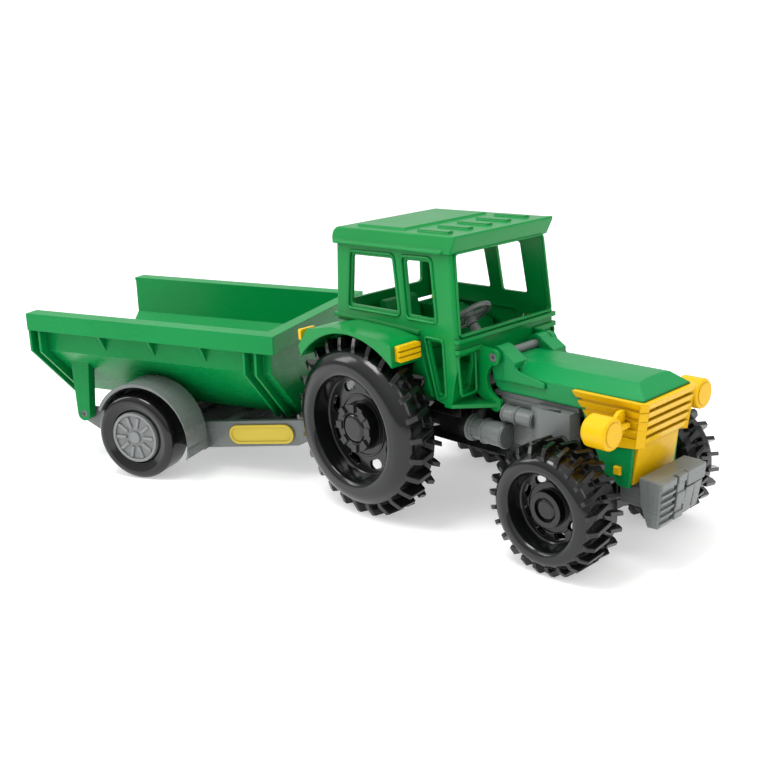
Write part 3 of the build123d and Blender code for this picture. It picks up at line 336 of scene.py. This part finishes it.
# outlines of the openings in mm: X and Z, but Y and Z for the two in the cab's front
WINDOWS = (
    ((-22.6, 174), (15.6, 174.5), (20.4, 140), (-25.2, 140)),
    ((27.6, 174.5), (49.6, 175), (53.8, 139.4), (31.4, 139.4)),
)
DOOR = ((47.8, 124.5), (59.6, 124.5), (60.4, 91), (56.2, 89))
LOW_FRONT = ((45.2, 116.5), (33.6, 116.5), (33.6, 93.5), (43.6, 93.5))
SCREEN = ((-44.2, 0.4), (44.2, 0.4), (41.8, 50.6), (-41.8, 50.6))  # Z counted from the sill

# each bead's gap from its opening, corner radius and own radius, in metres
WINDOW_BEAD = (0.0027, 0.0035, 0.0011)
LOW_BEAD = (0.0022, 0.0028, 0.0010)
SCREEN_BEAD = (0.0008, 0.003, 0.0009)


def on_side(side, x, z):
    """Point on the cab's leaning side wall; z measures up the wall as if it stood upright."""
    up = z - SILL
    return mm(x, side * (SIDE_Y - up * math.sin(LEAN)), SILL + up * math.cos(LEAN))


def on_screen(y, up):
    """Point on the cab's raked front, up from the sill."""
    return mm(FRONT_X - up * math.sin(RAKE), y, SILL + up * math.cos(RAKE))


def grown(points, amount):
    """Outline pushed outwards from its middle by an amount in its own plane."""
    middle = sum(points, Vector()) / len(points)
    count = len(points)
    result = []
    for k, here in enumerate(points):
        edge_a = (here - points[k - 1]).normalized()
        edge_b = (points[(k + 1) % count] - here).normalized()
        way = (edge_a - edge_b).normalized()
        if way.dot(here - middle) < 0:
            way = -way
        half = math.acos(max(-1.0, min(1.0, -edge_a.dot(edge_b)))) / 2
        result.append(here + way * amount / max(SHARPEST, math.sin(half)))
    return result


def bead(bm, points, normal, gap, corner, radius):
    """Bead set off by a gap from an outline, with rounded corners."""
    tube(bm, rounded_loop(grown(points, gap), corner), radius, Vector(normal))


def window_beads(side):
    """Beads of one side: its two windows, its door window and its low front window."""
    def fill(bm):
        normal = (0, side * math.cos(LEAN), math.sin(LEAN))
        for outline in WINDOWS:
            points = [on_side(side, x, z) for x, z in outline]
            bead(bm, points, normal, *WINDOW_BEAD)
        points = [mm(x, side * SIDE_Y, z) for x, z in DOOR]
        bead(bm, points, (0, side, 0), *LOW_BEAD)
        points = [mm(FRONT_X, side * y, z) for y, z in LOW_FRONT]
        bead(bm, points, (1, 0, 0), *LOW_BEAD)
    return fill


def screen_bead(bm):
    """Bead round the windscreen."""
    points = [on_screen(y, up) for y, up in SCREEN]
    bead(bm, points, (math.cos(RAKE), 0, math.sin(RAKE)), *SCREEN_BEAD)


# ---------------------------------------------------------------- engine and hood details
# The two cylinders: Y and Z of the axis in mm, inner radius of their bands in metres, and each
# band's X, radius and width in mm.
CYLINDERS = (
    (29, 65, 0.0045, ((67.6, 8.9, 1.6), (79.6, 8.6, 1.4), (95.4, 8.5, 1.6))),
    (28, 80, 0.003, ((95.0, 5.9, 1.4), (105.0, 6.1, 1.2), (117.6, 5.8, 1.4))),
)
BAND_CHAMFER = 0.0004
BAND_FLAT = 0.6                  # share of a band's width at its full radius

# X and Y in mm of the three-sided pocket, X and Z of the tab below a headlight and of the
# flange at a hinge knuckle; the depths are in metres
POCKET, POCKET_Z = ((122.8, 28.9), (138.0, 29.2), (135.8, 25.3)), 84.2
TAB, TAB_Y = ((174.2, 57.6), (178.6, 57.6), (178.6, 62.6), (174.2, 62.6)), 24.0
CHEEK = ((91, 118), (95, 115.8), (103.5, 107.6), (124, 103.4), (124, 99.8), (91, 99.8))
CHEEK_IN, CHEEK_OUT = 24.1, 25.65
POCKET_DEPTH, TAB_DEPTH = 0.0040, 0.0026


def engine_details(side):
    """Flanges and bands on the two cylinders of one side."""
    def fill(bm):
        for y, z, bore, bands in CYLINDERS:
            for x, radius, width in bands:
                w = width / 2000
                r = radius / 1000
                half = ((-w, bore), (-w, r - BAND_CHAMFER), (-w * BAND_FLAT, r))
                profile = half + tuple((-along, out) for along, out in reversed(half))
                lathe(bm, mm(x, side * y, z), (1, 0, 0), profile)
    return fill


def pocket_shade_blocks(bm):
    """Black blocks at the bottom of the three-sided pockets in the manifold boxes: painted shade,
    standing in for the dark of the pockets' depth.
    """
    for side in (-1, 1):
        flat_block(bm, [mm(x, side * y, POCKET_Z) for x, y in POCKET], (0, 0, 1), POCKET_DEPTH)


def hood_tabs(bm):
    """Snap tabs below the headlights."""
    for side in (-1, 1):
        flat_block(bm, [mm(x, side * TAB_Y, z) for x, z in TAB], (0, side, 0), TAB_DEPTH)


def hood_cheeks(bm):
    """Raised flanges that run from the hinge knuckles down into the hood's sides."""
    prism(bm, CHEEK, -CHEEK_OUT, -CHEEK_IN)
    prism(bm, CHEEK, CHEEK_IN, CHEEK_OUT)


# ---------------------------------------------------------------- ballast block
BALLAST_TOP = 58.4               # mm
RIBS, RIB_PITCH, RIB_TALL = 5, 4.6, 2.7
BALLAST_IN = 196                 # X of the slabs' hidden backs, inside the core
FRONT_SLOPE = 0.12               # how far the front runs back per mm of height


def slab(bm, top, foot, back_z, y_from, y_to, taper=0.0):
    """Slab with its back inside the core.

    top and foot are the X and Z of its front, back_z is the Z its underside ends at behind.
    """
    profile = ((BALLAST_IN, top[1]), top, foot, (BALLAST_IN, back_z))
    prism(bm, profile, y_from, y_to, taper)


def ballast(bm):
    """Ribbed right slab, banded column and grooved left slab, narrower towards the bottom."""
    # core, and the tongue behind it
    core = ((190, BALLAST_TOP), (202.6, BALLAST_TOP), (199, 29), (194.5, 27.6), (190.2, 42))
    prism(bm, core, -23.9, 23.9, 2.2)
    prism(bm, ((190, 50), (190, 37), (172.2, 37), (172.2, 48)), -17, 17)
    # right: cap, five ribs that shorten downwards, and the plate behind them
    cap = ((BALLAST_IN, 58.0), (205.9, 58.0), (205.6, 53.2), (199, 52.4), (BALLAST_IN, 50))
    prism(bm, cap, -23.8, -8.2, 0.3)
    for step in range(RIBS):
        z = 50.4 - step * RIB_PITCH
        x = 205.7 - step * 0.55
        foot = z - RIB_TALL
        slab(bm, (x, z), (x - 1.2, foot), foot, -22.9 + step * 0.36, -8.4)
    slab(bm, (204.8, 57.6), (201.6, 28.4), 28.0, -23.95, -8.3, 2.1)
    # middle: column and its three bands
    slab(bm, (205.2, 57.8), (201.4, 28.8), 28.3, -5.4, 2.6, 0.2)
    for z, tall in ((57.9, 5.6), (46.4, 9.2), (33.8, 4.6)):
        x = 205.9 - (BALLAST_TOP - z) * FRONT_SLOPE
        foot = z - tall
        profile = ((197, z), (x, z), (x - tall * FRONT_SLOPE, foot), (197, foot))
        prism(bm, profile, -5.9, 3.0, 0.1)
    # left: head, and the two halves below it with a groove between them
    slab(bm, (205.4, 57.9), (204.6, 48), 48, 3.8, 23.7, 0.4)
    slab(bm, (204.3, 47.2), (201.0, 29.6), 29.2, 3.8, 13.2, 0.2)
    slab(bm, (203.7, 47.2), (200.6, 30.6), 30.0, 14.0, 22.8, 1.2)


# ---------------------------------------------------------------- the new pieces
new_piece("window_beads_right", "tractor", "green_plastic", window_beads(-1))
new_piece("window_beads_left", "tractor", "green_plastic", window_beads(1))
new_piece("windscreen_bead", "tractor", "green_plastic", screen_bead)
new_piece("engine_bands_right", "tractor", "grey_plastic", engine_details(-1))
new_piece("engine_bands_left", "tractor", "grey_plastic", engine_details(1))
new_piece("grille_tabs", "hood", "yellow_plastic", hood_tabs, smooth=False)
# painted shade: black blocks stand in for the dark depth of the engine's pockets
new_piece("pocket_shade_blocks", "tractor", "black_plastic", pocket_shade_blocks, smooth=False)
cheeks = new_piece("hood_cheeks", "hood", "hood_green", hood_cheeks, smooth=False)
block = new_piece("ballast_block", "tractor", "grey_plastic", ballast, smooth=False)
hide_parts("front_weight")
soften(block, 0.0007, segments=3, angle=30)
soften(cheeks, 0.0006, segments=3, angle=30)

# ---------------------------------------------------------------- studio
FLOOR_REACH = 9                  # metres each way
FLOOR_TINTS = ((0.74, 0.74, 0.745), (0.76, 0.76, 0.76))
FLOOR_GLOW = 0.42                # emission, so that the floor stays white under the object
DOME_HEIGHTS = (0.0, 0.85)
DOME_LIGHT = (0.45, 1.15)        # world strength at those heights
BACKDROP = 1.15                  # world strength that the camera sees

floor_mat = bpy.data.materials.new("studio_floor")
floor_mat.use_nodes = True
tree = floor_mat.node_tree
shade = tree.nodes["Principled BSDF"]
shade.inputs["Roughness"].default_value = 0.55
shade.inputs["Specular IOR Level"].default_value = 0.25
cloud = tree.nodes.new("ShaderNodeTexNoise")
cloud.inputs["Scale"].default_value = 1.5
tree.links.new(ramp(tree, cloud.outputs["Fac"], FLOOR_TINTS), shade.inputs["Base Color"])
shade.inputs["Emission Color"].default_value = (1, 1, 1, 1)
shade.inputs["Emission Strength"].default_value = FLOOR_GLOW

mesh = bpy.data.meshes.new("studio_floor")
corners = [(x * FLOOR_REACH, y * FLOOR_REACH, 0) for x, y in ((-1, -1), (1, -1), (1, 1), (-1, 1))]
mesh.from_pydata(corners, [], [(0, 1, 2, 3)])
floor = bpy.data.objects.new("studio_floor", mesh)
bpy.context.scene.collection.objects.link(floor)
mesh.materials.append(floor_mat)

# a soft overhead dome that fades towards the horizon; camera rays see a plain white instead
world = bpy.data.worlds.new("studio")
bpy.context.scene.world = world
world.use_nodes = True
tree = world.node_tree
sky = tree.nodes["Background"]
sky.inputs["Color"].default_value = (1.0, 1.0, 1.0, 1)
spot = tree.nodes.new("ShaderNodeTexCoord")
split = tree.nodes.new("ShaderNodeSeparateXYZ")
tree.links.new(spot.outputs["Generated"], split.inputs["Vector"])
seen = tree.nodes.new("ShaderNodeLightPath")
pick = tree.nodes.new("ShaderNodeMix")
pick.data_type = "FLOAT"
tree.links.new(remap(tree, split.outputs["Z"], DOME_HEIGHTS, DOME_LIGHT), pick.inputs["A"])
pick.inputs["B"].default_value = BACKDROP
tree.links.new(seen.outputs["Is Camera Ray"], pick.inputs["Factor"])
tree.links.new(pick.outputs["Result"], sky.inputs["Strength"])

AIM = (0.0, 0.0, 0.08)


def lamp(name, where, size, power):
    """Rectangular area light of a (width, height), turned to the object."""
    data = bpy.data.lights.new(name, "AREA")
    data.shape = "RECTANGLE"
    data.size, data.size_y = size
    data.energy = power
    obj = bpy.data.objects.new(name, data)
    bpy.context.scene.collection.objects.link(obj)
    obj.location = where
    obj.rotation_euler = (Vector(AIM) - Vector(where)).to_track_quat("-Z", "Y").to_euler()


lamp("key_top", (-0.1, -0.45, 1.5), (0.6, 0.6), 13)
lamp("side_left", (-1.1, -0.9, 0.9), (0.35, 0.9), 5)
lamp("side_right", (1.3, 0.4, 0.9), (0.5, 0.9), 3)

# ---------------------------------------------------------------- camera, as solved from the photo
AZ, EL, ROLL = math.radians(48.1), math.radians(16.3), math.radians(-3.6)
EYE = (0.5108, -0.5061, 0.2906)
SENSOR = 36.0                    # mm across
FOCAL_PX, PHOTO_PX = 1050.9, 760
back = Vector((math.sin(AZ) * math.cos(EL), -math.cos(AZ) * math.cos(EL), math.sin(EL)))
level = Vector((math.cos(AZ), math.sin(AZ), 0.0))
upright = back.cross(level)
right = level * math.cos(ROLL) + upright * math.sin(ROLL)
up = upright * math.cos(ROLL) - level * math.sin(ROLL)
cam = bpy.data.cameras.new("camera")
cam.sensor_width = SENSOR
cam.lens = SENSOR * FOCAL_PX / PHOTO_PX
cam.clip_start = 0.01
eye = bpy.data.objects.new("camera", cam)
bpy.context.scene.collection.objects.link(eye)
eye.matrix_world = Matrix((*zip(right, up, back, EYE), (0, 0, 0, 1)))
bpy.context.scene.camera = eye
bpy.context.scene.view_settings.view_transform = "Standard"
